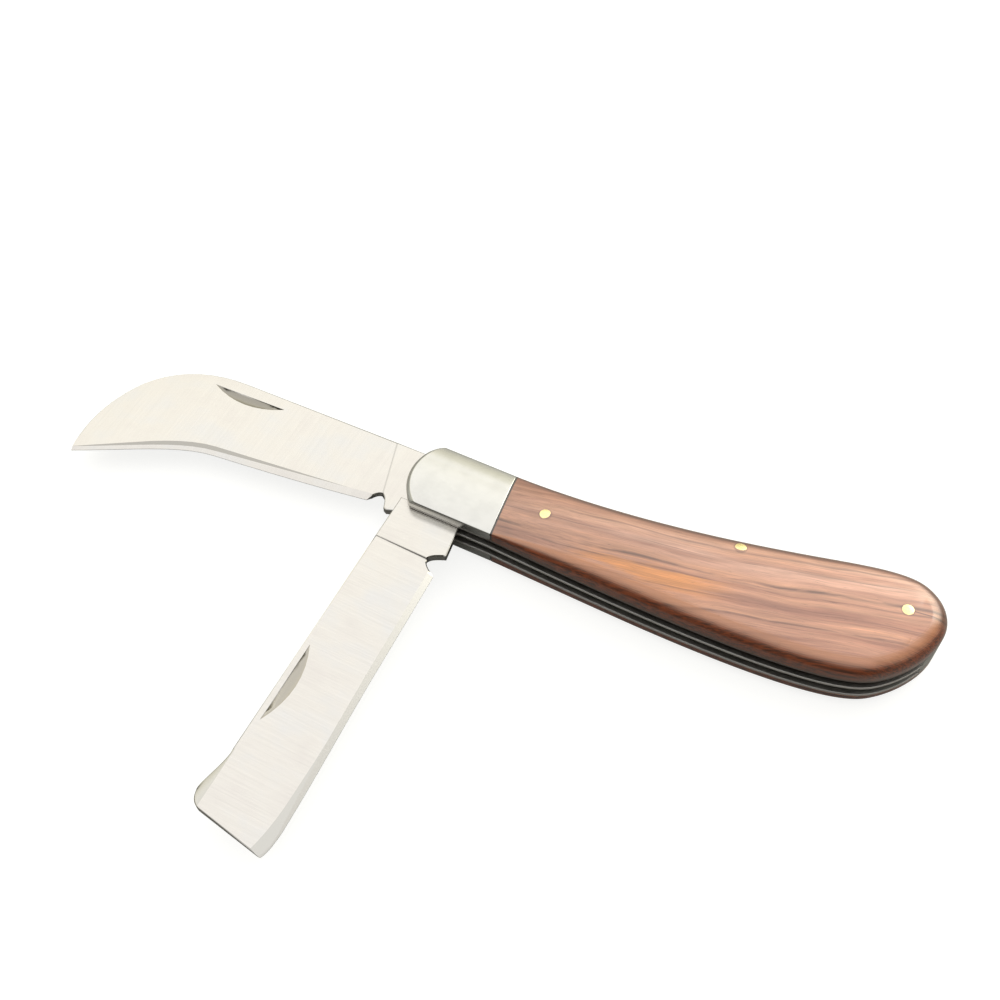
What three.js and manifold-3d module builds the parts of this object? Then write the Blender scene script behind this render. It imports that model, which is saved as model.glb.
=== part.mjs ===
// Two-bladed folding pruning and grafting knife, in millimetres.
//
// The origin is on the pivot axis, on the outer face of the rear bolster. +X runs from the pivot to the
// butt, +Y from the belly to the spine of the handle, and +Z from the rear scale to the front scale.
// The hawkbill blade stands fully open. The grafting blade stands at its half stop, square to the handle.

import * as THREE from 'three';
import { mergeVertices } from 'three/addons/utils/BufferGeometryUtils.js';
import Module from 'manifold-3d';

// Layers, from the rear face of the bolsters to the front one.
const BOLSTER = 2.1;
const LINER = 0.6;
const WELL = 2.0;
const BLADE = 1.8;
const SCALE = 3.8;

const REAR_LINER_Z = BOLSTER;
const REAR_WELL_Z = REAR_LINER_Z + LINER;
const CENTER_LINER_Z = REAR_WELL_Z + WELL;
const FRONT_WELL_Z = CENTER_LINER_Z + LINER;
const FRONT_LINER_Z = FRONT_WELL_Z + WELL;
const FRONT_SCALE_Z = FRONT_LINER_Z + LINER;
const MIDDLE_Z = CENTER_LINER_Z + LINER / 2;
const FRONT_Z = FRONT_SCALE_Z + SCALE;
const REAR_Z = 2 * MIDDLE_Z - FRONT_Z;

// Handle outline.
const NOSE_X = 2.7;
const NOSE_Y = 1.1;
const NOSE_RADIUS = 10.75;
const BOLSTER_SPINE = 8.2;
const BOLSTER_BELLY = -6.9;
const WOOD_START = 12.3;
const JOINT_TILT = 6.5;
const WOOD_GAP = 0.1;
const BUTT_X = 96.8;

// Edges of the wood and of the bolsters.
const WOOD_ROUND_WIDTH = 3.2;
const WOOD_ROUND_HEIGHT = 2.8;
const SWELL_END = 48;
const BOLSTER_ROUND_WIDTH = 2.4;
const BOLSTER_ROUND_HEIGHT = 0.8;
const NOSE_CHAMFER = 0.9;

// Pins.
const PIVOT_RADIUS = 1.2;
const PIVOT_SKIN = 0.4;
const PIN_RADIUS = 1.1;
const PIN_CLEARANCE = 0.05;
const SPRING_PIN = [57.1, 10.8];
const BUTT_PIN = [89.1, 11.6];
const SCALE_PIN = [20.8, 1.5];

// Tangs: a square hub with rounded corners that turns just under the nose of its backspring.
const HUB_FLAT = 5.3;
const HUB_RADIUS = 5.55;
const SHOULDER_X = -5.3;
const TANG_HEEL_ANGLE = -110;
const HAWKBILL_FOLD = 170;
const GRAFTING_FOLD = 174;

// Backsprings.
const SPRING_NOSE_X = -4.9;
const SPRING_UNDERSIDE = 5.7;
const SPRING_EYE = 2.5;

// Outlines of the blades.
const HAWKBILL_SPINE = 7.9;
const HAWKBILL_HEEL = [-14.5, -7.1];
const HAWKBILL_MIDDLE = [-48, -11.6];
const HAWKBILL_TIP = [-75.0, -23.6];
const GRAFTING_SPINE = 7.3;
const GRAFTING_HEEL = [-18.4, -6.9];
const GRAFTING_MIDDLE = [-42, -7.3];
const GRAFTING_CORNER = [-79.3, -7.2];

// Grinding of the blades: half thickness at the spine, slopes towards the edge and thickness of the edge.
const GROUND_HALF = 0.8;
const HAWKBILL_SLOPE = 0.014;
const GRAFTING_SLOPE = 0.020;
const EDGE_HALF = 0.06;

// Sharpening: each pass takes the edge down by the rise over its own run.
const EDGE_RISE = 0.8;
const EDGE_RUN = 2.1;
const HOLLOW_RUN = 6.2;
const CORNER_RUN = 4.4;

// Bark lifter: thinned above this height, over this slope.
const LIFTER_START = 6.9;
const LIFTER_SLOPE = 0.2;
const LIFTER_X = -65;

// Nail nicks: the straight side, the bulge towards the edge and the depth.
const NICK_LENGTH = 16.8;
const NICK_BULGE = 2.4;
const NICK_DEPTH = 0.45;
const NICK_SEGMENTS = 240;

const CURVE_SEGMENTS = 10;
const PIN_SEGMENTS = 32;
const FAR = 120;
const BEYOND = 20;

const wasm = await Module();
wasm.setup();

// A closed three.js geometry as a solid that can be cut and joined.
function solid(geometry) {
  geometry.deleteAttribute('normal');
  geometry.deleteAttribute('uv');
  const merged = mergeVertices(geometry);
  const mesh = new wasm.Mesh({
    numProp: 3,
    vertProperties: merged.attributes.position.array,
    triVerts: new Uint32Array(merged.index.array),
  });
  return new wasm.Manifold(mesh);
}

// The geometry of a solid.
function geometryOf(body) {
  const { vertProperties, triVerts } = body.getMesh();
  const geometry = new THREE.BufferGeometry();
  geometry.setAttribute('position', new THREE.BufferAttribute(new Float32Array(vertProperties), 3));
  geometry.setIndex(new THREE.BufferAttribute(new Uint32Array(triVerts), 1));
  return geometry;
}

// The same piece on the other side of the handle's middle plane.
function mirrored(geometry) {
  const copy = geometry.clone();
  copy.scale(1, 1, -1);
  copy.translate(0, 0, 2 * MIDDLE_Z);
  const index = copy.index.array;
  for (let i = 0; i < index.length; i += 3) {
    [index[i], index[i + 1]] = [index[i + 1], index[i]];
  }
  return copy;
}

// A shape in the XY plane, extruded from bottom to top.
function plate(shape, bottom, top) {
  const options = { depth: top - bottom, bevelEnabled: false, curveSegments: CURVE_SEGMENTS };
  const geometry = new THREE.ExtrudeGeometry(shape, options);
  geometry.translate(0, 0, bottom);
  return solid(geometry);
}

// A plate whose two rims turn in by width over height, in the given number of steps.
function rimmedPlate(shape, bottom, top, width, height, steps) {
  const geometry = new THREE.ExtrudeGeometry(shape, {
    depth: top - bottom - 2 * height,
    bevelThickness: height,
    bevelSize: width,
    bevelOffset: -width,
    bevelSegments: steps,
    curveSegments: CURVE_SEGMENTS,
  });
  geometry.translate(0, 0, bottom + height);
  return solid(geometry);
}

// A shape in the XZ plane, extruded right across the handle along Y.
function acrossY(shape) {
  const options = { depth: FAR, bevelEnabled: false, curveSegments: CURVE_SEGMENTS };
  const geometry = new THREE.ExtrudeGeometry(shape, options);
  geometry.rotateX(Math.PI / 2);
  geometry.translate(0, FAR / 2, 0);
  return solid(geometry);
}

// A shape in the YZ plane, extruded along X from start to end.
function alongX(shape, start, end) {
  const options = { depth: end - start, bevelEnabled: false, curveSegments: CURVE_SEGMENTS };
  const geometry = new THREE.ExtrudeGeometry(shape, options);
  const axes = new THREE.Matrix4().makeBasis(
    new THREE.Vector3(0, 1, 0),
    new THREE.Vector3(0, 0, 1),
    new THREE.Vector3(1, 0, 0),
  );
  geometry.applyMatrix4(axes);
  geometry.translate(start, 0, 0);
  return solid(geometry);
}

// An upright round bar, used for pins and for their holes.
function bar([x, y], radius, bottom, top) {
  const geometry = new THREE.CylinderGeometry(radius, radius, top - bottom, PIN_SEGMENTS);
  geometry.rotateX(Math.PI / 2);
  geometry.translate(x, y, (bottom + top) / 2);
  return solid(geometry);
}

function hole(place, radius) {
  return bar(place, radius + PIN_CLEARANCE, -FAR, FAR);
}

function polygon(points) {
  return new THREE.Shape(points.map(([x, y]) => new THREE.Vector2(x, y)));
}

// The wooden part of the handle's outline, counter-clockwise: belly, butt and spine.
function addWoodOutline(shape) {
  shape.lineTo(WOOD_START, BOLSTER_BELLY);
  shape.bezierCurveTo(24, -7.4, 38, -8.0, 52, -7.9);
  shape.bezierCurveTo(72, -7.7, 83.8, -6.1, 88.3, -2.8);
  shape.bezierCurveTo(93.2, 0.8, BUTT_X - 0.1, 6.8, BUTT_X, 11.4);
  shape.bezierCurveTo(BUTT_X + 0.1, 15.7, 93.4, 19.8, 88.5, 20.1);
  shape.bezierCurveTo(84, 20.4, 78, 18.7, 70, 16.65);
  shape.bezierCurveTo(50, 11.6, 34, 8.7, WOOD_START, BOLSTER_SPINE);
}

// The outline shared by the liners, the bolsters and the scales.
function handleShape() {
  const spine = Math.PI - Math.asin((BOLSTER_SPINE - NOSE_Y) / NOSE_RADIUS);
  const belly = Math.PI - Math.asin((BOLSTER_BELLY - NOSE_Y) / NOSE_RADIUS);
  const shape = new THREE.Shape();
  shape.absarc(NOSE_X, NOSE_Y, NOSE_RADIUS, spine, belly, false);
  addWoodOutline(shape);
  shape.closePath();
  return shape;
}

// The same outline with a square front end that reaches under the bolster, to be cut off at the joint.
function scaleShape() {
  const shape = new THREE.Shape();
  shape.moveTo(0, BOLSTER_BELLY);
  addWoodOutline(shape);
  shape.lineTo(0, BOLSTER_SPINE);
  shape.closePath();
  return shape;
}

// Everything below the front face of the wood, which swells from the bolster to the middle of the handle.
function frontFace() {
  const shape = new THREE.Shape();
  shape.moveTo(-FAR, -FAR);
  shape.lineTo(FAR, -FAR);
  shape.lineTo(FAR, FRONT_Z);
  shape.lineTo(SWELL_END, FRONT_Z);
  const start = FRONT_SCALE_Z + BOLSTER;
  shape.bezierCurveTo(SWELL_END - 14, FRONT_Z, WOOD_START + 10, start + 1.0, WOOD_START, start);
  shape.lineTo(-FAR, start);
  shape.closePath();
  return acrossY(shape);
}

// A box between two values of each coordinate.
function box(x0, x1, y0, y1, z0, z1) {
  const geometry = new THREE.BoxGeometry(x1 - x0, y1 - y0, z1 - z0);
  geometry.translate((x0 + x1) / 2, (y0 + y1) / 2, (z0 + z1) / 2);
  return solid(geometry);
}

// The half space on the blade side of the joint between bolster and wood, which leans towards the pivot.
function noseSide(offset) {
  const geometry = new THREE.BoxGeometry(FAR, 2 * FAR, 2 * FAR);
  geometry.translate(-FAR / 2, 0, 0);
  geometry.rotateZ(THREE.MathUtils.degToRad(JOINT_TILT));
  geometry.translate(WOOD_START + offset, 0, 0);
  return solid(geometry);
}

// Front scale: rounded along its rim, flat on the liner and flush with the bolster at its front end.
function scaleSolid() {
  const bottom = 2 * FRONT_SCALE_Z - FRONT_Z;
  const rounded = rimmedPlate(scaleShape(), bottom, FRONT_Z, WOOD_ROUND_WIDTH, WOOD_ROUND_HEIGHT, 6);
  return rounded
    .intersect(box(-FAR, FAR, -FAR, FAR, FRONT_SCALE_Z, FAR))
    .intersect(frontFace())
    .subtract(noseSide(WOOD_GAP))
    .subtract(hole(SPRING_PIN, PIN_RADIUS))
    .subtract(hole(BUTT_PIN, PIN_RADIUS))
    .subtract(hole(SCALE_PIN, PIN_RADIUS));
}

// Front bolster: flat face, rounded towards the spine, chamfered round the nose and sharp along the belly.
function bolsterSolid() {
  const top = FRONT_SCALE_Z + BOLSTER;
  const section = new THREE.Shape();
  section.moveTo(BOLSTER_BELLY - NOSE_CHAMFER, FRONT_SCALE_Z);
  section.lineTo(BOLSTER_SPINE, FRONT_SCALE_Z);
  section.lineTo(BOLSTER_SPINE, top - BOLSTER_ROUND_HEIGHT);
  section.bezierCurveTo(
    BOLSTER_SPINE - 0.3, top - 0.25,
    BOLSTER_SPINE - BOLSTER_ROUND_WIDTH / 2, top,
    BOLSTER_SPINE - BOLSTER_ROUND_WIDTH, top,
  );
  section.lineTo(BOLSTER_BELLY - NOSE_CHAMFER, top);
  section.closePath();

  const reach = NOSE_RADIUS - NOSE_CHAMFER;
  const nose = new THREE.Shape();
  nose.absarc(NOSE_X, NOSE_Y, NOSE_RADIUS, Math.PI / 2, 1.5 * Math.PI, false);
  nose.lineTo(NOSE_X + 2 * reach, NOSE_Y - NOSE_RADIUS);
  nose.lineTo(NOSE_X + 2 * reach, NOSE_Y + NOSE_RADIUS);
  nose.closePath();
  const bottom = 2 * FRONT_SCALE_Z - top;

  return plate(handleShape(), FRONT_SCALE_Z, top)
    .intersect(alongX(section, -FAR, FAR))
    .intersect(noseSide(0))
    .intersect(rimmedPlate(nose, bottom, top, NOSE_CHAMFER, NOSE_CHAMFER, 3))
    .subtract(bar([0, 0], PIVOT_RADIUS + PIN_CLEARANCE, -FAR, top - PIVOT_SKIN));
}

function linerSolid(bottom, pins) {
  const places = [[[0, 0], PIVOT_RADIUS], ...pins.map((place) => [place, PIN_RADIUS])];
  return places.reduce(
    (body, [place, radius]) => body.subtract(hole(place, radius)),
    plate(handleShape(), bottom, bottom + LINER),
  );
}

// Backspring: its nose bears on the tang, its back is the spine of the handle, and it is held by two pins.
function springSolid(bottom) {
  const shape = new THREE.Shape();
  shape.moveTo(SPRING_NOSE_X, SPRING_UNDERSIDE);
  shape.lineTo(5, SPRING_UNDERSIDE);
  shape.lineTo(13, SPRING_UNDERSIDE + 0.9);
  shape.bezierCurveTo(25, 6.9, 38, 7.6, 50, 9.2);
  shape.lineTo(SPRING_PIN[0] - 2, SPRING_PIN[1] - SPRING_EYE);
  shape.lineTo(SPRING_PIN[0] + 2, SPRING_PIN[1] - SPRING_EYE);
  shape.bezierCurveTo(64, 11.5, 70, 13.6, 76, 15.4);
  shape.bezierCurveTo(80, 16.4, 83.6, 15.4, 84.4, 11.5);
  shape.lineTo(85.6, 5.5);
  shape.lineTo(FAR, 5.5);
  shape.lineTo(FAR, FAR);
  shape.lineTo(SPRING_NOSE_X, FAR);
  shape.closePath();
  return plate(handleShape(), bottom, bottom + WELL)
    .intersect(plate(shape, bottom, bottom + WELL))
    .subtract(hole(SPRING_PIN, PIN_RADIUS))
    .subtract(hole(BUTT_PIN, PIN_RADIUS));
}

// Adds the hub of a tang to an open blade's outline, clockwise from the shoulder under the spring's nose.
// The hub has a flat for each position that the spring holds: open, half way and closed.
function addHub(shape, fold) {
  const half = THREE.MathUtils.radToDeg(Math.acos(HUB_FLAT / HUB_RADIUS));
  const flats = [90, 0, 90 - fold];
  const ends = [...flats.slice(1).map((angle) => angle + half), TANG_HEEL_ANGLE];
  shape.lineTo(SHOULDER_X, HUB_FLAT);
  flats.forEach((angle, i) => {
    const from = THREE.MathUtils.degToRad(angle - half);
    const to = THREE.MathUtils.degToRad(ends[i]);
    shape.lineTo(HUB_RADIUS * Math.cos(from), HUB_RADIUS * Math.sin(from));
    shape.absarc(0, 0, HUB_RADIUS, from, to, true);
  });
}

// Pruning blade, open along -X: straight spine, back curving down to the point, hollow cutting edge.
function hawkbillShape() {
  const shape = new THREE.Shape();
  shape.moveTo(SHOULDER_X, HAWKBILL_SPINE);
  addHub(shape, HAWKBILL_FOLD);
  shape.lineTo(-9.6, -7.9);
  shape.lineTo(-10.3, -7.6);
  shape.quadraticCurveTo(-11.2, -4.7, -12.4, -4.7);
  shape.quadraticCurveTo(-13.4, -4.9, ...HAWKBILL_HEEL);
  shape.bezierCurveTo(-26, -9.0, -37, -10.4, ...HAWKBILL_MIDDLE);
  shape.bezierCurveTo(-56, -12.5, -64.5, -18.3, ...HAWKBILL_TIP);
  shape.bezierCurveTo(-77.0, -16.5, -75.6, -9.8, -73.0, -4.5);
  shape.bezierCurveTo(-69.5, 2.6, -62, 6.9, -52, 7.1);
  shape.closePath();
  return shape;
}

// What a sharpening pass leaves: a plate with a sloping rim, bounded by the line that the pass follows from
// the tip back to the heel, and wide of the blade everywhere else.
function sharpened(middle, run, follow) {
  const shape = new THREE.Shape();
  shape.moveTo(FAR, -BEYOND);
  shape.lineTo(FAR, FAR);
  shape.lineTo(-FAR, FAR);
  shape.lineTo(-FAR, -FAR / 2);
  follow(shape);
  shape.closePath();
  const reach = EDGE_HALF + EDGE_RISE;
  return rimmedPlate(shape, middle - reach, middle + reach, run, EDGE_RISE, 1);
}

function followHawkbillEdge(shape) {
  shape.lineTo(...HAWKBILL_TIP);
  shape.bezierCurveTo(-64.5, -18.3, -56, -12.5, ...HAWKBILL_MIDDLE);
  shape.bezierCurveTo(-37, -10.4, -26, -9.0, ...HAWKBILL_HEEL);
}

// A flatter pass above the edge, on a line outside it that comes closest to it in the hollow near the point.
function followHollow(shape) {
  shape.lineTo(-78, -26.9);
  shape.lineTo(-74.3, -25.0);
  shape.bezierCurveTo(-64.0, -19.7, -55.5, -14.2, -48, -13.5);
  shape.bezierCurveTo(-37, -12.6, -26, -11.6, -14.5, -10.0);
}

// Grafting blade, drawn open along -X: straight spine, edge with a slight belly, square end and a
// bark-lifter lobe on the spine.
function graftingShape() {
  const shape = new THREE.Shape();
  shape.moveTo(SHOULDER_X, GRAFTING_SPINE);
  addHub(shape, GRAFTING_FOLD);
  shape.lineTo(-6.0, -6.1);
  shape.lineTo(-13.6, -7.1);
  shape.quadraticCurveTo(-14.7, -4.3, -15.7, -4.1);
  shape.quadraticCurveTo(-16.9, -4.2, ...GRAFTING_HEEL);
  shape.lineTo(...GRAFTING_MIDDLE);
  shape.bezierCurveTo(-55, -7.6, -64, -8.2, -74, -8.2);
  shape.bezierCurveTo(-76.5, -8.1, -78.5, -7.8, ...GRAFTING_CORNER);
  shape.lineTo(-76.9, 6.6);
  shape.bezierCurveTo(-76.3, 8.5, -74.6, 9.1, -73.0, 8.9);
  shape.bezierCurveTo(-70.5, 8.5, -68.5, 7.5, -65.8, GRAFTING_SPINE);
  shape.closePath();
  return shape;
}

function followGraftingEdge(shape) {
  shape.lineTo(...GRAFTING_CORNER);
  shape.bezierCurveTo(-78.5, -7.8, -76.5, -8.1, -74, -8.2);
  shape.bezierCurveTo(-64, -8.2, -55, -7.6, ...GRAFTING_MIDDLE);
  shape.lineTo(...GRAFTING_HEEL);
}

// A flatter pass above the edge, on a line outside it that comes closest to it at the corner.
function followCorner(shape) {
  shape.lineTo(-84, -6.3);
  shape.bezierCurveTo(-77, -9.1, -70, -9.1, -57, -9.1);
  shape.lineTo(-20, -9.1);
}

// Everything that the two flat grinding passes leave of a blade, thinner from the spine towards the edge.
function groundWedge(middle, spine, slope) {
  const high = spine + 6;
  const low = spine - 0.9 * GROUND_HALF / slope;
  const at = (y) => GROUND_HALF - slope * (spine - y);
  const section = polygon([
    [low, middle - at(low)],
    [high, middle - at(high)],
    [high, middle + at(high)],
    [low, middle + at(low)],
  ]);
  return alongX(section, -FAR, FAR);
}

// What grinding leaves of the bark lifter: thinner away from the blade, and untouched below it.
function lifterWedge(middle) {
  const top = LIFTER_START + 0.9 * GROUND_HALF / LIFTER_SLOPE;
  const thin = 0.1 * GROUND_HALF;
  const section = polygon([
    [-FAR, middle - GROUND_HALF],
    [LIFTER_START, middle - GROUND_HALF],
    [top, middle - thin],
    [top, middle + thin],
    [LIFTER_START, middle + GROUND_HALF],
    [-FAR, middle + GROUND_HALF],
  ]);
  return alongX(section, -FAR, FAR);
}

// A nail nick: a wheel with one flat and one tapered side, sunk into the ground front of a blade.
function nickCutter([x, y], middle, spine, slope, tilt) {
  const surface = middle + GROUND_HALF - slope * (spine - y);
  const radius = NICK_LENGTH ** 2 / (8 * NICK_DEPTH);
  const taper = NICK_DEPTH / NICK_BULGE;
  const width = 1.5 * NICK_BULGE;
  const geometry = new THREE.CylinderGeometry(radius, radius - taper * width, width, NICK_SEGMENTS);
  geometry.translate(0, -width / 2, 0);
  geometry.rotateZ(THREE.MathUtils.degToRad(tilt));
  geometry.translate(x, y, surface + radius - NICK_DEPTH);
  return solid(geometry);
}

// Cuts a blade from its outline. Past the plunge line it is ground thin and sharpened along its edge.
function bladeSolid({ outline, plunge, middle, ground, nick }) {
  const [[topX, topY], [lowX, lowY]] = plunge;
  const blank = plate(outline, middle - BLADE / 2, middle + BLADE / 2);
  const corners = [[topX, topY], [-FAR, topY], [-FAR, -FAR], [lowX, -FAR], [lowX, lowY]];
  const beyond = plate(polygon(corners), -FAR, FAR);
  return blank
    .subtract(beyond.subtract(ground))
    .subtract(nick)
    .subtract(hole([0, 0], PIVOT_RADIUS));
}

const knife = new THREE.Group();

function material(color, roughness, metalness) {
  return new THREE.MeshStandardMaterial({ color, roughness, metalness, flatShading: true });
}

function add(name, geometry, look) {
  const mesh = new THREE.Mesh(geometry, look());
  mesh.name = name;
  knife.add(mesh);
  return mesh;
}

const rosewood = () => material(0x9a5a3f, 0.35, 0);
const bolsterSteel = () => material(0xd9d9d4, 0.3, 1);
const linerSteel = () => material(0xa8a6a2, 0.35, 1);
const bladeSteel = () => material(0xe8e4de, 0.25, 1);
const springSteel = () => material(0x9c9a97, 0.35, 1);
const brass = () => material(0xe6cf72, 0.3, 1);

// Scales and bolsters, each pair mirrored about the centre liner.
const frontScale = geometryOf(scaleSolid());
add('front_scale', frontScale, rosewood);
add('rear_scale', mirrored(frontScale), rosewood);

const frontBolster = geometryOf(bolsterSolid());
add('front_bolster', frontBolster, bolsterSteel);
add('rear_bolster', mirrored(frontBolster), bolsterSteel);

// Liners and backsprings.
const outerPins = [SPRING_PIN, BUTT_PIN, SCALE_PIN];
add('front_liner', geometryOf(linerSolid(FRONT_LINER_Z, outerPins)), linerSteel);
add('center_liner', geometryOf(linerSolid(CENTER_LINER_Z, [SPRING_PIN, BUTT_PIN])), linerSteel);
add('rear_liner', geometryOf(linerSolid(REAR_LINER_Z, outerPins)), linerSteel);
add('front_backspring', geometryOf(springSolid(FRONT_WELL_Z)), springSteel);
add('rear_backspring', geometryOf(springSolid(REAR_WELL_Z)), springSteel);

// Blades.
const rearMiddle = REAR_WELL_Z + WELL / 2;
const hawkbill = bladeSolid({
  outline: hawkbillShape(),
  plunge: [[-16.9, 12], [-9.4, -14]],
  middle: rearMiddle,
  ground: groundWedge(rearMiddle, HAWKBILL_SPINE, HAWKBILL_SLOPE)
    .intersect(sharpened(rearMiddle, EDGE_RUN, followHawkbillEdge))
    .intersect(sharpened(rearMiddle, HOLLOW_RUN, followHollow)),
  nick: nickCutter([-49.5, 4.4], rearMiddle, HAWKBILL_SPINE, HAWKBILL_SLOPE, 2),
});
add('hawkbill_blade', geometryOf(hawkbill), bladeSteel);

const frontMiddle = FRONT_WELL_Z + WELL / 2;
const grafting = bladeSolid({
  outline: graftingShape(),
  plunge: [[-15.3, 12], [-15.8, -14]],
  middle: frontMiddle,
  ground: groundWedge(frontMiddle, GRAFTING_SPINE, GRAFTING_SLOPE)
    .intersect(sharpened(frontMiddle, EDGE_RUN, followGraftingEdge))
    .intersect(sharpened(frontMiddle, CORNER_RUN, followCorner))
    .intersect(lifterWedge(frontMiddle).add(box(LIFTER_X, FAR, -FAR, FAR, -FAR, FAR))),
  nick: nickCutter([-50.0, 6.1], frontMiddle, GRAFTING_SPINE, GRAFTING_SLOPE, 0),
});
add('grafting_blade', geometryOf(grafting), bladeSteel).rotation.z = Math.PI / 2;

// Pins.
const pivotEnd = BOLSTER - PIVOT_SKIN - PIN_CLEARANCE;
const pivot = bar([0, 0], PIVOT_RADIUS, REAR_LINER_Z - pivotEnd, FRONT_SCALE_Z + pivotEnd);
add('pivot_pin', geometryOf(pivot), springSteel);
add('spring_pin', geometryOf(bar(SPRING_PIN, PIN_RADIUS, REAR_Z, FRONT_Z)), brass);
add('butt_pin', geometryOf(bar(BUTT_PIN, PIN_RADIUS, REAR_Z, FRONT_Z)), brass);

const scalePin = geometryOf(bar(SCALE_PIN, PIN_RADIUS, FRONT_LINER_Z, FRONT_Z).intersect(frontFace()));
add('front_scale_pin', scalePin, brass);
add('rear_scale_pin', mirrored(scalePin), brass);

export default knife;
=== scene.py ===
"""Folding pruning and grafting knife: the looks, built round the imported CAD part.

Lengths are in millimetres until a mesh is made. The frame is the part's own: the blades' pivot axis is Z,
the handle runs along +X and its spine is on the +Y side.
"""

import math

import bmesh
import bpy
import numpy as np
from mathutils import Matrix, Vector
from mathutils.bvhtree import BVHTree


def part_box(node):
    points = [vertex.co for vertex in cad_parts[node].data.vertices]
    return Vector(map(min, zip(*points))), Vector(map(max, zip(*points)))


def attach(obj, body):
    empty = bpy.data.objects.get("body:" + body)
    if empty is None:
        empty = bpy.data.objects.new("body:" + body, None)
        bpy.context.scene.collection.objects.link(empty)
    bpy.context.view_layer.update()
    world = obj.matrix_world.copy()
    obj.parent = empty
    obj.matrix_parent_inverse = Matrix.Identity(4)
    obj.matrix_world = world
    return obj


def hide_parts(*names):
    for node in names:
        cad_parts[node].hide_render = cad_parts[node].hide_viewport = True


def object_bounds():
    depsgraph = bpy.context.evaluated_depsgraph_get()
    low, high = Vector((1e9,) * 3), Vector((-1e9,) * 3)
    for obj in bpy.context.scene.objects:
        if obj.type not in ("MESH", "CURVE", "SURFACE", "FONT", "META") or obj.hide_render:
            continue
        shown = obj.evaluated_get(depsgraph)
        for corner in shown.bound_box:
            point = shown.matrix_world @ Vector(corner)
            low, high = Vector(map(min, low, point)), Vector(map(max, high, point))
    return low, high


MM = 0.001

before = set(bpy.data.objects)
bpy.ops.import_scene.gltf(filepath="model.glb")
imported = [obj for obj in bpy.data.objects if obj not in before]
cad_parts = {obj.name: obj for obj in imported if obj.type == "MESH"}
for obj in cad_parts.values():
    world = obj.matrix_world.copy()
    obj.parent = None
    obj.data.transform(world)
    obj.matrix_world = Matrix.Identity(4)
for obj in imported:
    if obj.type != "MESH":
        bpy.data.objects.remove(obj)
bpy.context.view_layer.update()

# Levels of the handle's layers, from the CAD nodes.
LINER_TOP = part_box("front_liner")[1].z / MM
BOLSTER_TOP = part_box("front_bolster")[1].z / MM
WOOD_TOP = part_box("front_scale")[1].z / MM
MIDDLE = (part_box("center_liner")[0].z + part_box("center_liner")[1].z) / 2 / MM

# The handle's outline, as cubic curves from the joint to the butt.
JOINT_X = 12.3
SPINE_Y = 8.2
BELLY_Y = -6.9
JOINT_SLOPE = math.tan(math.radians(6.5))
WOOD_GAP = 0.1
BELLY_CURVES = [
    [(12.3, -6.9), (24, -7.4), (38, -8.0), (52, -7.9)],
    [(52, -7.9), (72, -7.7), (83.8, -6.1), (88.3, -2.8)],
    [(88.3, -2.8), (93.2, 0.8), (96.7, 6.8), (96.8, 11.4)],
]
SPINE_CURVES = [
    [(12.3, 8.2), (34, 8.7), (50, 11.6), (70, 16.65)],
    [(70, 16.65), (78, 18.7), (84, 20.4), (88.5, 20.1)],
    [(88.5, 20.1), (93.4, 19.8), (96.9, 15.7), (96.8, 11.4)],
]
NOSE_CENTRE = (2.7, 1.1)
NOSE_RADIUS = 10.75

# Rounding: width and height of each rim, where the bolster meets the wood and along the rest of the wood.
SPINE_RIM = (4.2, 1.0)
BELLY_RIM = (0.3, 0.25)
WOOD_RIM = (3.3, 2.8)
NOSE_RIM = 0.75
NOSE_ROUND = 1.25
RIM_ANGLE = math.radians(80)
SWELL_START = 12.3
SWELL_END = 48.0
CROWN_JOINT = 0.2
CROWN_WOOD = 0.32
CROWN_SPAN = 15.0

# Ease of a bolster's edge at the joint with the wood: width and depth.
JOINT_EASE = (0.12, 0.03)

# Only walls this many times as high as the rounding get it.
WALL_SHARE = 4

PIN_RADIUS = 1.1
HEAD_LEAN = 0.6
SPRING_PIN = (57.1, 10.8)
BUTT_PIN = (89.1, 11.6)
SCALE_PIN = (20.8, 1.5)
CRACK_END = (96.8, 12.6)
BROWN_TONE_START = 10.5

# Lines where the grinding of each blade stops, from spine to edge.
HAWKBILL_PLUNGE = ((-16.9, 12.0), (-9.4, -14.0))
GRAFTING_PLUNGE = ((-12.0, -15.3), (14.0, -15.8))

# Slopes of a blade's faces, as the size of the normal's Z part: where its shallow facets start and end,
# where its edge bevel does, and where its walls start. A mask fades between the two numbers of each.
# Through these masks the blade steel paints shade on the facets, the edge bevel and the walls.
FACET_TOP = (0.9972, 0.9962)
FACET_FOOT = (0.966, 0.970)
EDGE_TOP = (0.955, 0.945)
EDGE_FOOT = (0.90, 0.92)
WALL_TOP = (0.90, 0.72)

# Middles of the nail nicks, and how far they reach from there.
HAWKBILL_NICK = (-49.5, 4.0)
GRAFTING_NICK = (-5.5, -50.0)
NICK_REACH = 9.4


# ---------------------------------------------------------------- materials


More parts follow.
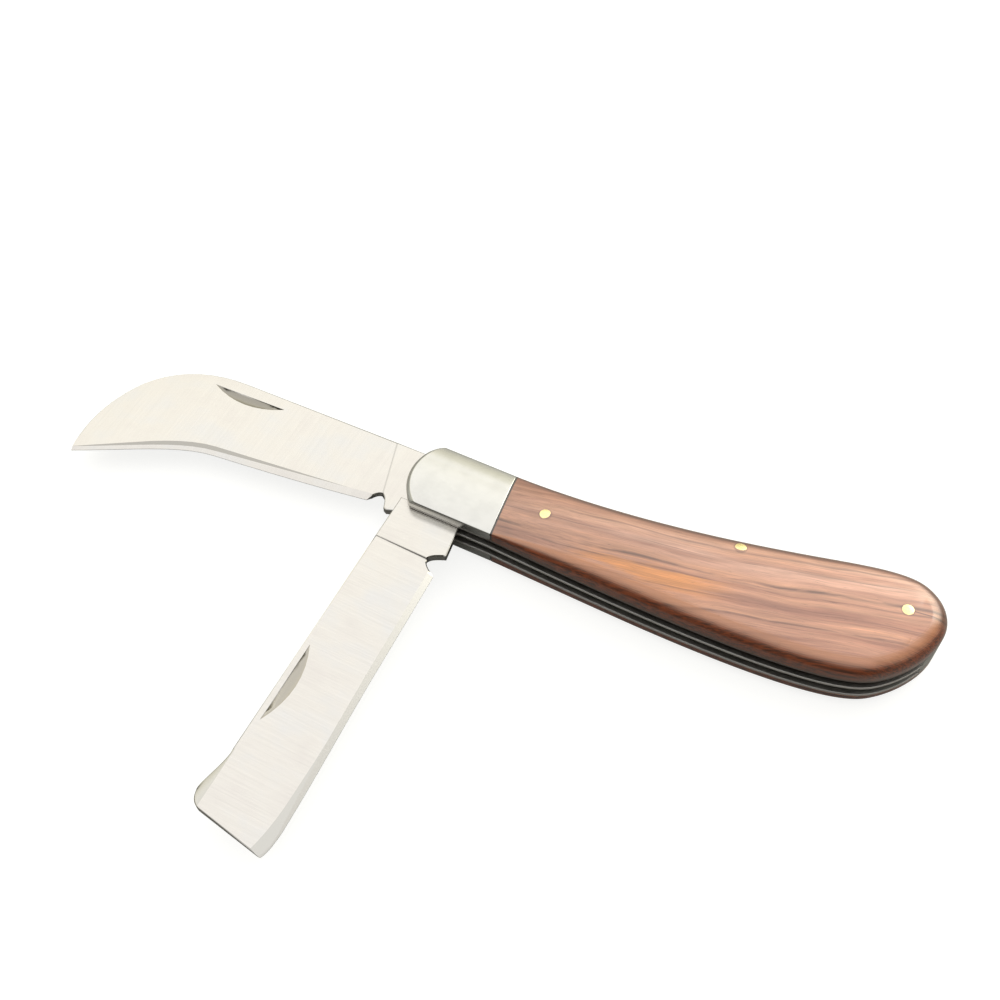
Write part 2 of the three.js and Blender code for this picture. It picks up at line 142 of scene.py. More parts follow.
class Nodes:
    """A material's node tree, with one short call for each node."""

    def __init__(self, name, **constants):
        self.material = bpy.data.materials.new(name)
        self.material.use_nodes = True
        self.tree = self.material.node_tree
        self.shader = self.tree.nodes["Principled BSDF"]
        for socket, value in constants.items():
            self.shader.inputs[socket.replace("_", " ")].default_value = value

    def add(self, kind, inputs=(), output=0, **settings):
        node = self.tree.nodes.new("ShaderNode" + kind)
        for key, value in settings.items():
            setattr(node, key, value)
        for key, value in dict(inputs).items():
            if isinstance(value, bpy.types.NodeSocket):
                self.tree.links.new(value, node.inputs[key])
            else:
                node.inputs[key].default_value = value
        return node.outputs[output]

    def math(self, operation, a, b=0.0):
        return self.add("Math", {0: a, 1: b}, operation=operation)

    def product(self, first, *others):
        for other in others:
            first = self.math("MULTIPLY", first, other)
        return first

    def place(self):
        """The point on the object, in millimetres."""
        point = self.add("TexCoord", output="Object")
        return self.add("VectorMath", {0: point, "Scale": 1 / MM}, operation="SCALE")

    def split(self, vector):
        node = self.tree.nodes.new("ShaderNodeSeparateXYZ")
        self.tree.links.new(vector, node.inputs[0])
        return node.outputs

    def join(self, x=0.0, y=0.0, z=0.0):
        return self.add("CombineXYZ", {0: x, 1: y, 2: z})

    def stretched(self, point, x, y, z):
        return self.add("VectorMath", {0: point, 1: (x, y, z)}, operation="MULTIPLY")

    def noise(self, vector, detail=2.0, roughness=0.5):
        return self.add(
            "TexNoise",
            {"Vector": vector, "Scale": 1.0, "Detail": detail, "Roughness": roughness},
        )

    def between(self, value, low, high):
        """0 below low and 1 above high, or the other way round when low is above high."""
        inputs = {"Value": value, "From Min": low, "From Max": high}
        return self.add("MapRange", inputs, interpolation_type="SMOOTHSTEP")

    def scaled(self, value, low, high, start=0.0, end=1.0):
        """Low where the value is at its start and high where it is at its end, straight in between."""
        inputs = {"Value": value, "From Min": start, "From Max": end, "To Min": low, "To Max": high}
        return self.add("MapRange", inputs)

    def shaded(self, colour, shade):
        """The colour times a grey shade."""
        return self.mix(1.0, colour, self.join(shade, shade, shade), "MULTIPLY")

    def ramp(self, value, stops):
        node = self.tree.nodes.new("ShaderNodeValToRGB")
        self.tree.links.new(value, node.inputs[0])
        elements = node.color_ramp.elements
        while len(elements) < len(stops):
            elements.new(0.5)
        for element, (position, colour) in zip(elements, stops):
            element.position = position
            element.color = (*colour, 1)
        return node.outputs[0]

    def mix(self, amount, a, b, blend="MIX"):
        node = self.tree.nodes.new("ShaderNodeMix")
        node.data_type = "RGBA"
        node.blend_type = blend
        for index, value in ((0, amount), (6, a), (7, b)):
            if isinstance(value, bpy.types.NodeSocket):
                self.tree.links.new(value, node.inputs[index])
            elif isinstance(value, tuple):
                node.inputs[index].default_value = (*value, 1)
            else:
                node.inputs[index].default_value = value
        return node.outputs[2]

    def finish(self, colour=None, roughness=None, bump=None, depth=0.0):
        """Joins the colour, the roughness and a height map of that depth in millimetres to the shader."""
        for socket, value in (("Base Color", colour), ("Roughness", roughness)):
            if value is not None:
                self.tree.links.new(value, self.shader.inputs[socket])
        if bump is not None:
            normal = self.add("Bump", {"Height": bump, "Distance": depth * MM, "Strength": 1.0})
            self.tree.links.new(normal, self.shader.inputs["Normal"])
        return self.material


def near_line(n, x, y, start, end, width):
    """1 on the straight line through two points of the XY plane, 0 further off than the width."""
    length = math.dist(start, end)
    across = ((start[1] - end[1]) / length, (end[0] - start[0]) / length)
    level = across[0] * start[0] + across[1] * start[1]
    reach = n.math("ADD", n.product(x, across[0]), n.product(y, across[1]))
    return n.between(n.math("ABSOLUTE", n.math("SUBTRACT", reach, level)), width, 0.0)


def from_point(n, x, y, place):
    """Distance from a point of the XY plane."""
    dx = n.math("SUBTRACT", x, place[0])
    dy = n.math("SUBTRACT", y, place[1])
    return n.math("SQRT", n.math("ADD", n.product(dx, dx), n.product(dy, dy)))


def blade_steel(name, along_x, contrast, facet_shade_colour, edge_shade_share, wall_shade_share, plunge, nick, nick_shade_colour):
    """Satin ground steel, with grinding lines across the blade and a grey line where the grinding stops:
    painted shade of the plunge's hollow, with some polishing residue.

    The shares are how much of the facets' painted shade the edge bevel takes, and how much painted shade
    darkens the walls.
    """
    n = Nodes(name, Metallic=1.0)
    point = n.place()
    x, y, _ = n.split(point)
    coarse_scale = (2.2, 0.05, 0.3) if along_x else (0.05, 2.2, 0.3)
    fine_scale = (9.0, 0.22, 1.0) if along_x else (0.22, 9.0, 1.0)
    lines = n.noise(n.stretched(point, *coarse_scale), 3, 0.65)
    fine = n.noise(n.stretched(point, *fine_scale), 2, 0.6)
    cloud = n.noise(n.stretched(point, 0.09, 0.12, 0.1), 3, 0.6)
    tint = n.ramp(
        cloud,
        [(0.3, (0.540, 0.515, 0.492)), (0.5, (0.562, 0.541, 0.512)), (0.7, (0.543, 0.534, 0.525))],
    )
    streaks = n.math("ADD", n.product(lines, 0.6), n.product(fine, 0.4))
    colour = n.shaded(tint, n.scaled(streaks, 1.0 - contrast, 1.0 + contrast))

    # Painted shade on facets that lean a little: nick floors, lifter and wide bevels are coloured greyer for
    # their darker reflection.
    normal = n.add("NewGeometry", output="True Normal")
    level = n.math("ABSOLUTE", n.split(normal)[2])
    facet = n.product(n.between(level, *FACET_TOP), n.between(level, *FACET_FOOT))
    colour = n.mix(facet, colour, facet_shade_colour)
    in_nick = n.between(from_point(n, x, y, nick), NICK_REACH, NICK_REACH - 0.2)
    colour = n.mix(n.product(facet, in_nick), colour, nick_shade_colour)
    # Painted shade on the edge bevel: it takes its share of the facets' grey.
    edge = n.product(n.between(level, *EDGE_TOP), n.between(level, *EDGE_FOOT))
    colour = n.mix(n.product(edge, edge_shade_share), colour, facet_shade_colour)
    # A painted grey line along the plunge: shade of its hollow, with some polishing residue.
    line = near_line(n, x, y, *plunge, 0.30)
    colour = n.mix(n.product(line, 0.45), colour, (0.23, 0.225, 0.21))

    # Painted shade: the walls of the blade are coloured dark.
    colour = n.mix(n.product(n.between(level, *WALL_TOP), wall_shade_share), colour, (0.20, 0.195, 0.185))
    return n.finish(colour, n.scaled(fine, 0.19, 0.31), lines, 0.0022)


def tang_steel(name, base, roughness, pattern, brown_tone=None):
    """Rolled or polished steel: faint pits and clouds, with lines along the given stretch.

    The brown tone is a darker, browner colour that it takes from the bolster on.
    """
    n = Nodes(name, Metallic=1.0)
    point = n.place()
    lines = n.noise(n.stretched(point, *pattern), 3, 0.6)
    cloud = n.noise(n.stretched(point, 0.2, 0.2, 0.2), 3, 0.65)
    dark = tuple(0.93 * c for c in base)
    colour = n.mix(n.between(cloud, 0.35, 0.7), base, dark)
    if brown_tone:
        colour = n.mix(n.between(n.split(point)[0], BROWN_TONE_START, BROWN_TONE_START + 3), colour, brown_tone)
    colour = n.shaded(colour, n.scaled(lines, 0.94, 1.05))
    return n.finish(colour, n.scaled(lines, roughness - 0.05, roughness + 0.08), lines, 0.002)


def brass_metal():
    n = Nodes("brass", Metallic=1.0)
    point = n.place()
    scuffs = n.noise(n.stretched(point, 1.6, 5.0, 1.6), 3, 0.6)
    colour = n.ramp(scuffs, [(0.3, (0.74, 0.60, 0.28)), (0.7, (0.86, 0.74, 0.42))])
    return n.finish(colour, n.scaled(scuffs, 0.16, 0.30), scuffs, 0.004)


def pin_rings(n, x, y, pins):
    """1 in the thin dark ring round each pin, 0 elsewhere."""
    ring = 0.0
    for pin in pins:
        ring = n.math("MAXIMUM", ring, n.between(from_point(n, x, y, pin), 1.5, 1.12))
    return ring


def rosewood():
    """Oiled rosewood: grain lines that rise towards the butt, dark streaks, orange heart and fine pores."""
    n = Nodes("rosewood", Coat_Weight=1.0, Coat_Roughness=0.20, Coat_IOR=1.55)
    point = n.place()
    x, y, z = n.split(point)
    from_bend = n.math("SUBTRACT", x, 44.0)
    bend = n.math("SQRT", n.math("ADD", n.product(from_bend, from_bend), 64.0))
    rise = n.math("ADD", n.product(x, 0.185), n.product(bend, 0.085))
    sway = n.noise(n.stretched(point, 0.032, 0.09, 0.09), 2, 0.5)
    across = n.math("SUBTRACT", y, rise)
    across = n.math("ADD", across, n.product(n.math("SUBTRACT", sway, 0.5), 3.0))
    depth = n.product(z, 0.7)

    def grain(along, over, detail):
        place = n.join(n.product(x, along), n.product(across, over), n.product(depth, over))
        return n.noise(place, detail, 0.6)

    def off(value, level):
        return n.math("ABSOLUTE", n.math("SUBTRACT", value, level))

    bands = grain(0.016, 0.42, 4)
    body = n.ramp(
        bands,
        [
            (0.28, (0.185, 0.070, 0.046)),
            (0.42, (0.290, 0.124, 0.078)),
            (0.55, (0.380, 0.180, 0.115)),
            (0.72, (0.470, 0.225, 0.132)),
        ],
    )
    heart = n.product(n.between(off(x, 43.0), 20.0, 6.0), n.between(off(across, -11.5), 5.0, 0.5))
    heart = n.product(heart, n.between(grain(0.05, 0.6, 3), 0.38, 0.60))
    colour = n.mix(heart, body, (0.520, 0.200, 0.055))
    # Pale sapwood along the grain, with painted sheen making it paler towards the butt.
    sapwood_and_sheen = n.product(n.between(off(across, -3.8), 4.8, 0.6), n.between(grain(0.022, 0.30, 3), 0.34, 0.62))
    sapwood_and_sheen = n.product(sapwood_and_sheen, 0.55, n.scaled(x, 0.7, 1.4, 10.0, 85.0))
    colour = n.mix(sapwood_and_sheen, colour, (0.600, 0.350, 0.265))

    dark = (0.085, 0.034, 0.024)
    broken = n.between(grain(0.08, 0.4, 3), 0.34, 0.58)
    for level, width, strength in (
        (-8.3, 0.60, 0.90),
        (-9.8, 0.30, 0.60),
        (-13.2, 0.25, 0.45),
        (-16.4, 0.45, 0.75),
        (-2.2, 0.35, 0.50),
        (-4.6, 0.20, 0.45),
    ):
        streak = n.product(n.between(off(across, level), width, 0.0), broken, strength)
        colour = n.mix(streak, colour, dark)
    lines = grain(0.030, 3.8, 4)
    colour = n.mix(n.product(n.between(lines, 0.54, 0.74), 0.34), colour, dark)
    shade = n.scaled(grain(0.20, 6.5, 3), 0.58, 1.45)
    blotch = n.scaled(grain(0.05, 0.75, 3), 0.50, 1.50)
    # Painted light: the wood is made lighter towards the butt, standing for the sheen there.
    sheen_towards_butt = n.scaled(x, 0.92, 1.48, 15.0, 92.0)
    colour = n.shaded(colour, n.product(shade, blotch, sheen_towards_butt))
    pores = n.between(grain(0.45, 9.0, 2), 0.66, 0.74)
    colour = n.mix(n.product(pores, 0.6), colour, dark)

    # Painted shade on the rims: the wood is coloured darker where it turns down, most at the belly.
    normal = n.split(n.add("NewGeometry", output="True Normal"))
    level = n.math("ABSOLUTE", normal[2])
    belly = n.between(normal[1], 0.10, -0.10)
    belly_rim_shade = n.product(n.between(level, 0.955, 0.74), belly, 0.95)
    spine_rim_shade = n.product(n.between(level, 0.985, 0.86), n.math("SUBTRACT", 1.0, belly))
    spine_rim_shade = n.product(spine_rim_shade, n.scaled(lines, 0.65, 1.0))
    # A painted highlight: warm orange where the belly's face starts to turn down.
    rim_highlight = n.product(n.between(level, 0.998, 0.975), n.between(level, 0.80, 0.93), belly)
    colour = n.mix(n.product(rim_highlight, n.scaled(bands, 0.25, 0.95)), colour, (0.430, 0.150, 0.038))
    belly_shade_colour = n.mix(n.between(lines, 0.35, 0.65), (0.230, 0.046, 0.008), (0.055, 0.011, 0.003))
    colour = n.mix(belly_rim_shade, colour, belly_shade_colour)
    colour = n.mix(spine_rim_shade, colour, (0.080, 0.025, 0.009))

    # A dark line in the joint with the bolster, a thin dark ring round each pin, and a fine crack from the
    # butt pin to the end.
    from_joint = n.math("SUBTRACT", n.math("ADD", x, n.product(y, JOINT_SLOPE)), JOINT_X + WOOD_GAP)
    colour = n.mix(n.between(from_joint, 0.42, 0.22), colour, (0.03, 0.02, 0.018))
    rings = pin_rings(n, x, y, (SPRING_PIN, BUTT_PIN, SCALE_PIN))
    colour = n.mix(n.product(rings, 0.40), colour, dark)
    crack = near_line(n, x, y, BUTT_PIN, CRACK_END, 0.24)
    crack = n.product(crack, n.between(x, BUTT_PIN[0] + 0.6, BUTT_PIN[0] + 1.4))
    colour = n.mix(n.product(crack, 0.8), colour, (0.075, 0.034, 0.024))
    height = n.math("SUBTRACT", n.product(lines, 0.35), n.product(pores, 0.65))
    roughness = n.math("ADD", n.scaled(bands, 0.30, 0.42), n.product(pores, 0.2))
    return n.finish(colour, roughness, height, 0.02)


LINER_COLOUR = (0.60, 0.585, 0.565)
LINER_PATTERN = (0.5, 0.5, 14.0)

MATERIALS = {
    "hawkbill_steel": blade_steel(
        "hawkbill_steel",
        along_x=True,
        contrast=0.09,
        facet_shade_colour=(0.33, 0.318, 0.297),
        edge_shade_share=0.0,
        wall_shade_share=0.5,
        plunge=HAWKBILL_PLUNGE,
        nick=HAWKBILL_NICK,
        nick_shade_colour=(0.26, 0.245, 0.215),
    ),
    "grafting_steel": blade_steel(
        "grafting_steel",
        along_x=False,
        contrast=0.14,
        facet_shade_colour=(0.455, 0.445, 0.420),
        edge_shade_share=0.8,
        wall_shade_share=0.6,
        plunge=GRAFTING_PLUNGE,
        nick=GRAFTING_NICK,
        nick_shade_colour=(0.345, 0.325, 0.285),
    ),
    "bolster_steel": tang_steel("bolster_steel", (0.555, 0.550, 0.530), 0.20, (0.35, 7.0, 1.0)),
    "liner_steel": tang_steel("liner_steel", LINER_COLOUR, 0.36, LINER_PATTERN),
    "brown_toned_steel": tang_steel("brown_toned_steel", LINER_COLOUR, 0.38, LINER_PATTERN, (0.21, 0.175, 0.155)),
    "spring_steel": tang_steel("spring_steel", (0.46, 0.45, 0.43), 0.34, (3.0, 0.4, 6.0)),
    "brass": brass_metal(),
    "rosewood": rosewood(),
}


# ------------------------------------------------------------------- pieces


def finish_mesh(mesh, sharp_degrees):
    """Smooth shading, with hard edges where faces meet at more than the given angle."""
    for polygon in mesh.polygons:
        polygon.use_smooth = True
    mesh.set_sharp_from_angle(angle=math.radians(sharp_degrees))


def wall_height(face, corner):
    """Height of a wall at one of its corners: 0 where the wall has no other corner right above or below."""
    place = corner.co.xy
    return max(abs(v.co.z - corner.co.z) if (v.co.xy - place).length < 0.01 * MM else 0 for v in face.verts)


def ease_edges(made, offset, segments):
    """Eases the long edges between the flats of a piece and those of its walls that are tall enough."""
    chosen = []
    for edge in made.edges:
        if not edge.is_manifold or edge.calc_face_angle(0) < math.radians(50):
            continue
        walls = [face for face in edge.link_faces if abs(face.normal.z) < 0.5]
        if len(walls) == 1 and min(wall_height(walls[0], v) for v in edge.verts) > WALL_SHARE * offset * MM:
            chosen.append(edge)
    bmesh.ops.bevel(made, geom=chosen, offset=offset * MM, segments=segments, profile=0.5, affect="EDGES")


def mark_facets(mesh):
    """Hard edges between the ground facets of a blade, which meet at only a few degrees."""
    made = bmesh.new()
    made.from_mesh(mesh)
    for edge in made.edges:
        flats = [face for face in edge.link_faces if abs(face.normal.z) > 0.9]
        if len(flats) == 2 and edge.calc_face_angle(0) > math.radians(3):
            edge.smooth = False
    made.to_mesh(mesh)
    made.free()


def piece(name, points, faces, look, body, nodes, sharp=35):
    """A new object from points in millimetres, which stands for CAD nodes and rides on their body."""
    mesh = bpy.data.meshes.new(name)
    mesh.from_pydata([tuple(MM * c for c in p) for p in points], [], faces)
    mesh.update()
    made = bmesh.new()
    made.from_mesh(mesh)
    bmesh.ops.remove_doubles(made, verts=made.verts, dist=0.002 * MM)
    bmesh.ops.recalc_face_normals(made, faces=made.faces)
    made.to_mesh(mesh)
    made.free()
    finish_mesh(mesh, sharp)
    mesh.materials.append(MATERIALS[look])
    thing = bpy.data.objects.new(name, mesh)
    bpy.context.scene.collection.objects.link(thing)
    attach(thing, body)
    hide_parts(*nodes)
    return thing


def dressed(node, look, body, bevel, segments=3):
    """A copy of a CAD node with its flats joined up, its long edges eased and its curves smooth."""
    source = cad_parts[node]
    mesh = bpy.data.meshes.new(node + "_finished")
    made = bmesh.new()
    made.from_mesh(source.data)
    bmesh.ops.remove_doubles(made, verts=made.verts, dist=0.001 * MM)
    bmesh.ops.dissolve_limit(
        made, angle_limit=math.radians(0.3), verts=made.verts, edges=made.edges, use_dissolve_boundaries=False
    )
    if bevel:
        ease_edges(made, bevel, segments)
    made.to_mesh(mesh)
    made.free()
    finish_mesh(mesh, 40)
    mark_facets(mesh)
    mesh.materials.append(MATERIALS[look])
    thing = bpy.data.objects.new(node + "_finished", mesh)
    bpy.context.scene.collection.objects.link(thing)
    weighted = thing.modifiers.new("weighted_normals", "WEIGHTED_NORMAL")
    weighted.keep_sharp = True
    weighted.weight = 100
    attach(thing, body)
    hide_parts(node)
    return thing


def cubic(points, count):
    """Points along a cubic curve, without its last one."""
    a, b, c, d = (np.array(p, float) for p in points)
    t = np.linspace(0, 1, count, endpoint=False)[:, None]
    return a * (1 - t) ** 3 + 3 * b * t * (1 - t) ** 2 + 3 * c * t**2 * (1 - t) + d * t**3


def chain(curves, start, count):
    """Evenly spaced points from the joint to the tip of the butt, and the directions there."""
    fine = 400
    dense = np.vstack([cubic(c, fine) for c in curves] + [np.array([curves[-1][-1]], float)])
    dense = dense[dense[:, 0] > start[0]]
    dense = np.vstack([np.array([start], float), dense])
    steps = np.r_[0, np.cumsum(np.linalg.norm(np.diff(dense, axis=0), axis=1))]
    at = np.linspace(0, steps[-1], count)
    points = np.stack([np.interp(at, steps, dense[:, k]) for k in (0, 1)], 1)
    ways = np.gradient(points, axis=0)
    return points, ways / np.linalg.norm(ways, axis=1)[:, None]


def joint_x(y, gap):
    return JOINT_X + gap - JOINT_SLOPE * y


def face_height(x):
    """Height of the wood's face over the liner: flush with the bolster, swelling to the full thickness."""
    t = np.clip((x - SWELL_START) / (SWELL_END - SWELL_START), 0, 1)
    rise = 1 - (1 - t) ** 2.2
    low = BOLSTER_TOP - LINER_TOP
    return low + (WOOD_TOP - LINER_TOP - low) * rise


def rim_of(x, at_joint):
    """Width and height of the wood's rounded rim, which grows from the joint to the middle of the handle."""
    t = np.clip((x - SWELL_START) / (SWELL_END - 6 - SWELL_START), 0, 1)
    t = t * (2 - t)
    return [low + (high - low) * t for low, high in zip(at_joint, WOOD_RIM)]


def crown_of(x):
    t = np.clip((x - SWELL_START) / (SWELL_END - SWELL_START), 0, 1)
    return CROWN_JOINT + (CROWN_WOOD - CROWN_JOINT) * t


def rim_profile(step):
    """How far in, and how far down from the face, a rim is at a step from 0 at its foot to 1 at its top."""
    angle = step * RIM_ANGLE
    inward = (1 - math.cos(angle)) / (1 - math.cos(RIM_ANGLE))
    down = 1 - math.sin(angle) / math.sin(RIM_ANGLE)
    return inward, down


def quads(rows):
    """Faces between neighbouring rows of vertex numbers."""
    faces = []
    for low, high in zip(rows, rows[1:]):
        for i in range(len(low) - 1):
            faces.append((low[i], low[i + 1], high[i + 1], high[i]))
    return faces


def scale_mesh():
    """The front scale, as rows from the joint to the butt that run over it from belly to spine."""
    stations, rim_steps, across = 200, 14, 30
    belly, belly_way = chain(BELLY_CURVES, (joint_x(BELLY_Y, WOOD_GAP), BELLY_Y), stations)
    spine, spine_way = chain(SPINE_CURVES, (joint_x(SPINE_Y, WOOD_GAP), SPINE_Y), stations)
    points, rows = [], []
    for i in range(stations):
        row = []
        share_of_crown = min(1.0, math.dist(belly[i], spine[i]) / CROWN_SPAN) ** 2

        def put(x, y, height):
            row.append(len(points))
            points.append((x, y, LINER_TOP + height))

        sides = []
        for place, way, turn, at_joint in (
            (belly[i], belly_way[i], 1, BELLY_RIM),
            (spine[i], spine_way[i], -1, SPINE_RIM),
        ):
            width, height = rim_of(place[0], at_joint)
            inward = turn * np.array([-way[1], way[0]])
            if i == stations - 1:
                inward = np.array([-1.0, 0.0])
            if i == 0:
                inward = np.array([-JOINT_SLOPE * turn, turn])
            side = [(*place, 0.0)]
            for k in range(rim_steps + 1):
                share, down = rim_profile(k / rim_steps)
                spot = place + inward * width * share
                top = face_height(spot[0]) - share_of_crown * crown_of(spot[0])
                side.append((*spot, top - height * down))
            sides.append(side)
        for spot in sides[0]:
            put(*spot)
        (x0, y0, _), (x1, y1, _) = sides[0][-1], sides[1][-1]
        for k in range(1, across):
            v = k / across
            x = x0 + (x1 - x0) * v
            y = y0 + (y1 - y0) * v
            put(x, y, face_height(x) - share_of_crown * crown_of(x) * (2 * v - 1) ** 2)
        for spot in reversed(sides[1]):
            put(*spot)
        rows.append(row)
    faces = quads(rows)
    faces.append(tuple(rows[0]))
    faces.append(tuple([row[0] for row in rows] + [row[-1] for row in reversed(rows)]))
    return points, faces


def bolster_mesh():
    """The front bolster, as rows from belly to spine that run from the nose to the joint."""
    cx, cy = NOSE_CENTRE
    belly_steps, flat_steps, spine_steps, nose_steps, body_steps, nose_spread = 6, 30, 14, 12, 30, 1.6
    top = BOLSTER_TOP - LINER_TOP
    foot, head = BELLY_Y + BELLY_RIM[0], SPINE_Y - SPINE_RIM[0]
    lines = []
    for k in range(belly_steps + 1):
        share, down = rim_profile(k / belly_steps)
        lines.append((BELLY_Y + BELLY_RIM[0] * share, top - CROWN_JOINT - BELLY_RIM[1] * down))
    for k in range(1, flat_steps):
        v = k / flat_steps
        lines.append((foot + (head - foot) * v, top - CROWN_JOINT * (2 * v - 1) ** 2))
    for k in range(spine_steps, -1, -1):
        share, down = rim_profile(k / spine_steps)
        lines.append((SPINE_Y - SPINE_RIM[0] * share, top - CROWN_JOINT - SPINE_RIM[1] * down))
    nose = [NOSE_RIM * k / nose_steps for k in range(nose_steps)]
    ease_width, ease_depth = JOINT_EASE
    points, rows = [], []

    def put(x, y, height, row):
        row.append(len(points))
        points.append((x, y, LINER_TOP + height))

    for y, height in lines:
        row = []
        left = cx - math.sqrt(NOSE_RADIUS**2 - (y - cy) ** 2)
        right = joint_x(y, 0)
        body = np.linspace(left + NOSE_RIM * nose_spread, right - ease_width, body_steps)
        ends = [right - ease_width / 2, right - ease_width / 6, right]
        put(left, y, 0.0, row)
        for x in [*(left + nose_spread * s for s in nose), *body, *ends]:
            inside = NOSE_RADIUS - math.hypot(x - cx, y - cy) if x < cx else NOSE_RIM
            gap = 1 - min(1.0, max(0.0, inside) / NOSE_RIM)
            drop = NOSE_RIM * gap**NOSE_ROUND
            ease = ease_depth * max(0.0, 1 - (right - x) / ease_width) ** 2
            put(x, y, height - drop - ease, row)
        put(right, y, 0.0, row)
        rows.append(row)
    faces = quads(rows)
    for row in (rows[0], rows[-1]):
        faces.append(tuple(row))
    faces.append(tuple([row[0] for row in rows] + [row[-1] for row in reversed(rows)]))
    return points, faces


def mirrored(points):
    return [(x, y, 2 * MIDDLE - z) for x, y, z in points]


def over(surface, x, y):
    """Height of a mesh's upper side above a point."""
    hit = surface.ray_cast(Vector((x, y, 50.0)), Vector((0, 0, -1)))
    return hit[0].z


def pin_cap(surface, place, dome):
    """A ground-flush pin head that follows the wood: rings of points out from its centre, and their faces."""
    rings, turns, depth, proud = 6, 40, 2.4, 0.012
    level = over(surface, *place)
    points = [(*place, level + dome)]
    rows = []
    for r in range(1, rings + 1):
        share = r / rings
        row = []
        for t in range(turns):
            angle = 2 * math.pi * t / turns
            x = place[0] + PIN_RADIUS * share * math.cos(angle)
            y = place[1] + PIN_RADIUS * share * math.sin(angle)
            row.append(len(points))
            ground = level + HEAD_LEAN * (over(surface, x, y) - level)
            points.append((x, y, ground + dome * (1 - share**2) + proud))
        rows.append([*row, row[0]])
    foot = []
    for t in range(turns):
        foot.append(len(points))
        x, y, z = points[rows[-1][t]]
        points.append((x, y, z - depth))
    rows.append([*foot, foot[0]])
    faces = quads(rows)
    faces += [(0, rows[0][t], rows[0][t + 1]) for t in range(turns)]
    faces.append(tuple(foot))
    return points, faces


def joined(parts):
    points, faces = [], []
    for more, added in parts:
        faces += [tuple(i + len(points) for i in face) for face in added]
        points += more
    return points, faces


wood_points, wood_faces = scale_mesh()
piece("front_scale_wood", wood_points, wood_faces, "rosewood", "handle", ["front_scale"])
piece("rear_scale_wood", mirrored(wood_points), wood_faces, "rosewood", "handle", ["rear_scale"])

steel_points, steel_faces = bolster_mesh()
for side, shape in (("front", steel_points), ("rear", mirrored(steel_points))):
    name, steel = f"{side}_bolster_cap", "bolster_steel"
    piece(name, shape, steel_faces, steel, "handle", [f"{side}_bolster"], sharp=50)

wood_surface = BVHTree.FromPolygons([Vector(p) for p in wood_points], wood_faces)
for name, place, nodes in (
    ("spring_pin_heads", SPRING_PIN, ["spring_pin"]),
    ("butt_pin_heads", BUTT_PIN, ["butt_pin"]),
    ("scale_pin_heads", SCALE_PIN, ["front_scale_pin", "rear_scale_pin"]),
):
    head, head_faces = pin_cap(wood_surface, place, 0.05)
    heads, faces_of_both = joined([(head, head_faces), (mirrored(head), head_faces)])
    piece(name, heads, faces_of_both, "brass", "handle", nodes)

dressed("hawkbill_blade", "hawkbill_steel", "hawkbill", 0.2, 1)
dressed("grafting_blade", "grafting_steel", "grafting", 0.2, 1)
dressed("front_liner", "brown_toned_steel", "handle", 0.08)
for liner in ("center_liner", "rear_liner"):
    dressed(liner, "liner_steel", "handle", 0.08)
for spring in ("front_backspring", "rear_backspring"):
    dressed(spring, "spring_steel", "handle", 0.08)
dressed("pivot_pin", "spring_steel", "handle", 0)


# -------------------------------------------------------------------- stage

SOFTBOX = (0.35, 0.80, 0.49)
SOFTBOX_POWER = 6.0
WORLD_POWER = 1.9
FLOOR_HALF = 1.6
FLOOR_GAP = 0.02

# The camera: the point it looks at, its azimuth and elevation from there in degrees, distance and lens.
AIM = (9.75, 4.10, 5.0)
AZIMUTH = 26.75
ELEVATION = 55
DISTANCE = 258.5
LENS = 46.8


def make_floor():
    """A white table top. It glows a little to the camera, and throws little light back up at the knife."""
    n = Nodes("table_top", Roughness=0.7, Specular_IOR_Level=0.0)
    seen = n.add("LightPath", output="Is Camera Ray")
    point = n.place()
    speckle = n.noise(n.stretched(point, 0.05, 0.05, 0.05), 2, 0.5)
    white = n.ramp(speckle, [(0.0, (0.27, 0.27, 0.265)), (1.0, (0.29, 0.29, 0.285))])
    n.shader.inputs["Emission Color"].default_value = (1.0, 1.0, 0.99, 1)
    n.tree.links.new(n.math("MULTIPLY", seen, 0.84), n.shader.inputs["Emission Strength"])
    n.finish(n.mix(seen, (0.34, 0.34, 0.33), white))
    mesh = bpy.data.meshes.new("table_top")
    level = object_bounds()[0].z - FLOOR_GAP * MM
    corners = [(x * FLOOR_HALF, y * FLOOR_HALF, level) for x, y in ((-1, -1), (1, -1), (1, 1), (-1, 1))]
    mesh.from_pydata(corners, [], [(0, 1, 2, 3)])
    mesh.materials.append(n.material)
    floor = bpy.data.objects.new("table_top", mesh)
    bpy.context.scene.collection.objects.link(floor)


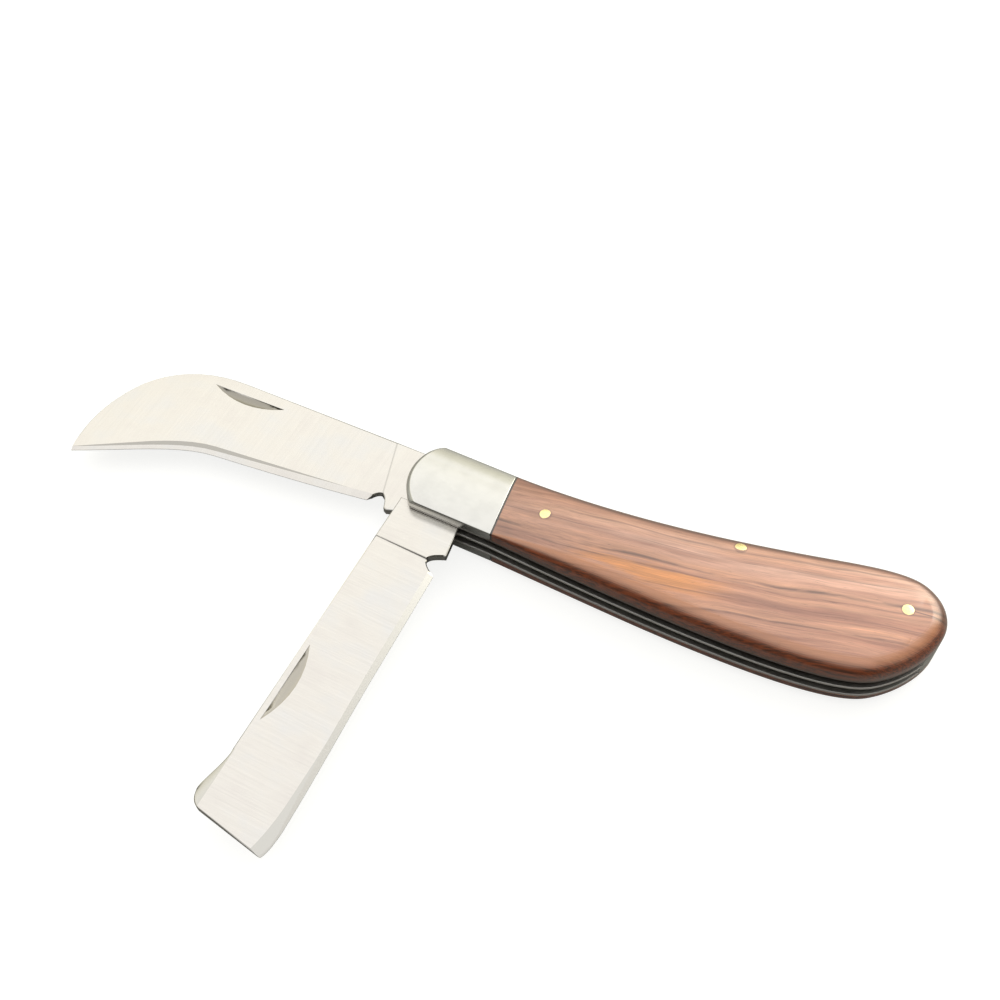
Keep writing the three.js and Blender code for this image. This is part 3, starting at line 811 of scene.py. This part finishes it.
def make_world():
    """A pale studio, bright halfway up behind the knife, dim in front and on the right, with one softbox."""
    world = bpy.data.worlds.new("studio")
    world.use_nodes = True
    bpy.context.scene.world = world
    tree = world.node_tree

    def add(kind, inputs, output=0, **settings):
        node = tree.nodes.new("ShaderNode" + kind)
        for key, value in settings.items():
            setattr(node, key, value)
        for key, value in inputs.items():
            if isinstance(value, bpy.types.NodeSocket):
                tree.links.new(value, node.inputs[key])
            else:
                node.inputs[key].default_value = value
        return node, node.outputs[output]

    way = add("TexCoord", {}, output="Generated")[1]
    parts = add("SeparateXYZ", {0: way})[0].outputs
    node, sky = add("ValToRGB", {0: parts[2]})
    stops = [
        (0.00, (0.42, 0.42, 0.38)),
        (0.35, (0.46, 0.45, 0.39)),
        (0.58, (0.62, 0.60, 0.49)),
        (0.67, (0.70, 0.68, 0.56)),
        (0.73, (0.98, 0.965, 0.90)),
        (0.77, (1.02, 1.00, 0.96)),
        (0.81, (0.86, 0.86, 0.82)),
        (0.88, (0.84, 0.83, 0.81)),
        (1.00, (0.82, 0.82, 0.81)),
    ]
    elements = node.color_ramp.elements
    while len(elements) < len(stops):
        elements.new(0.5)
    for element, (position, colour) in zip(elements, stops):
        element.position = position
        element.color = (*colour, 1)

    def faded(value, start, end, low, high):
        inputs = {"Value": value, "From Min": start, "From Max": end, "To Min": low, "To Max": high}
        return add("MapRange", inputs, interpolation_type="SMOOTHSTEP")[1]

    towards = add("VectorMath", {0: way, 1: SOFTBOX}, output="Value", operation="DOT_PRODUCT")[1]
    box = faded(towards, 0.89, 0.985, 0.0, SOFTBOX_POWER)
    front = faded(parts[1], -0.70, -0.22, 0.12, 1.0)
    right = faded(parts[0], 0.30, 0.62, 1.0, 0.35)
    power = add("Math", {0: front, 1: right}, operation="MULTIPLY")[1]
    power = add("Math", {0: power, 1: WORLD_POWER}, operation="MULTIPLY")[1]
    power = add("Math", {0: power, 1: box}, operation="ADD")[1]
    tree.links.new(sky, tree.nodes["Background"].inputs[0])
    tree.links.new(power, tree.nodes["Background"].inputs[1])


def make_camera():
    azimuth, elevation = math.radians(AZIMUTH), math.radians(ELEVATION)
    back = Vector(
        (
            math.sin(azimuth) * math.cos(elevation),
            -math.cos(azimuth) * math.cos(elevation),
            math.sin(elevation),
        )
    )
    data = bpy.data.cameras.new("camera")
    data.lens = LENS
    data.sensor_width = 36
    data.clip_start = 0.01
    camera = bpy.data.objects.new("camera", data)
    camera.location = (Vector(AIM) + back * DISTANCE) * MM
    camera.rotation_euler = back.to_track_quat("Z", "Y").to_euler()
    bpy.context.scene.collection.objects.link(camera)
    bpy.context.scene.camera = camera


make_floor()
make_world()
make_camera()
bpy.context.scene.view_settings.view_transform = "Standard"
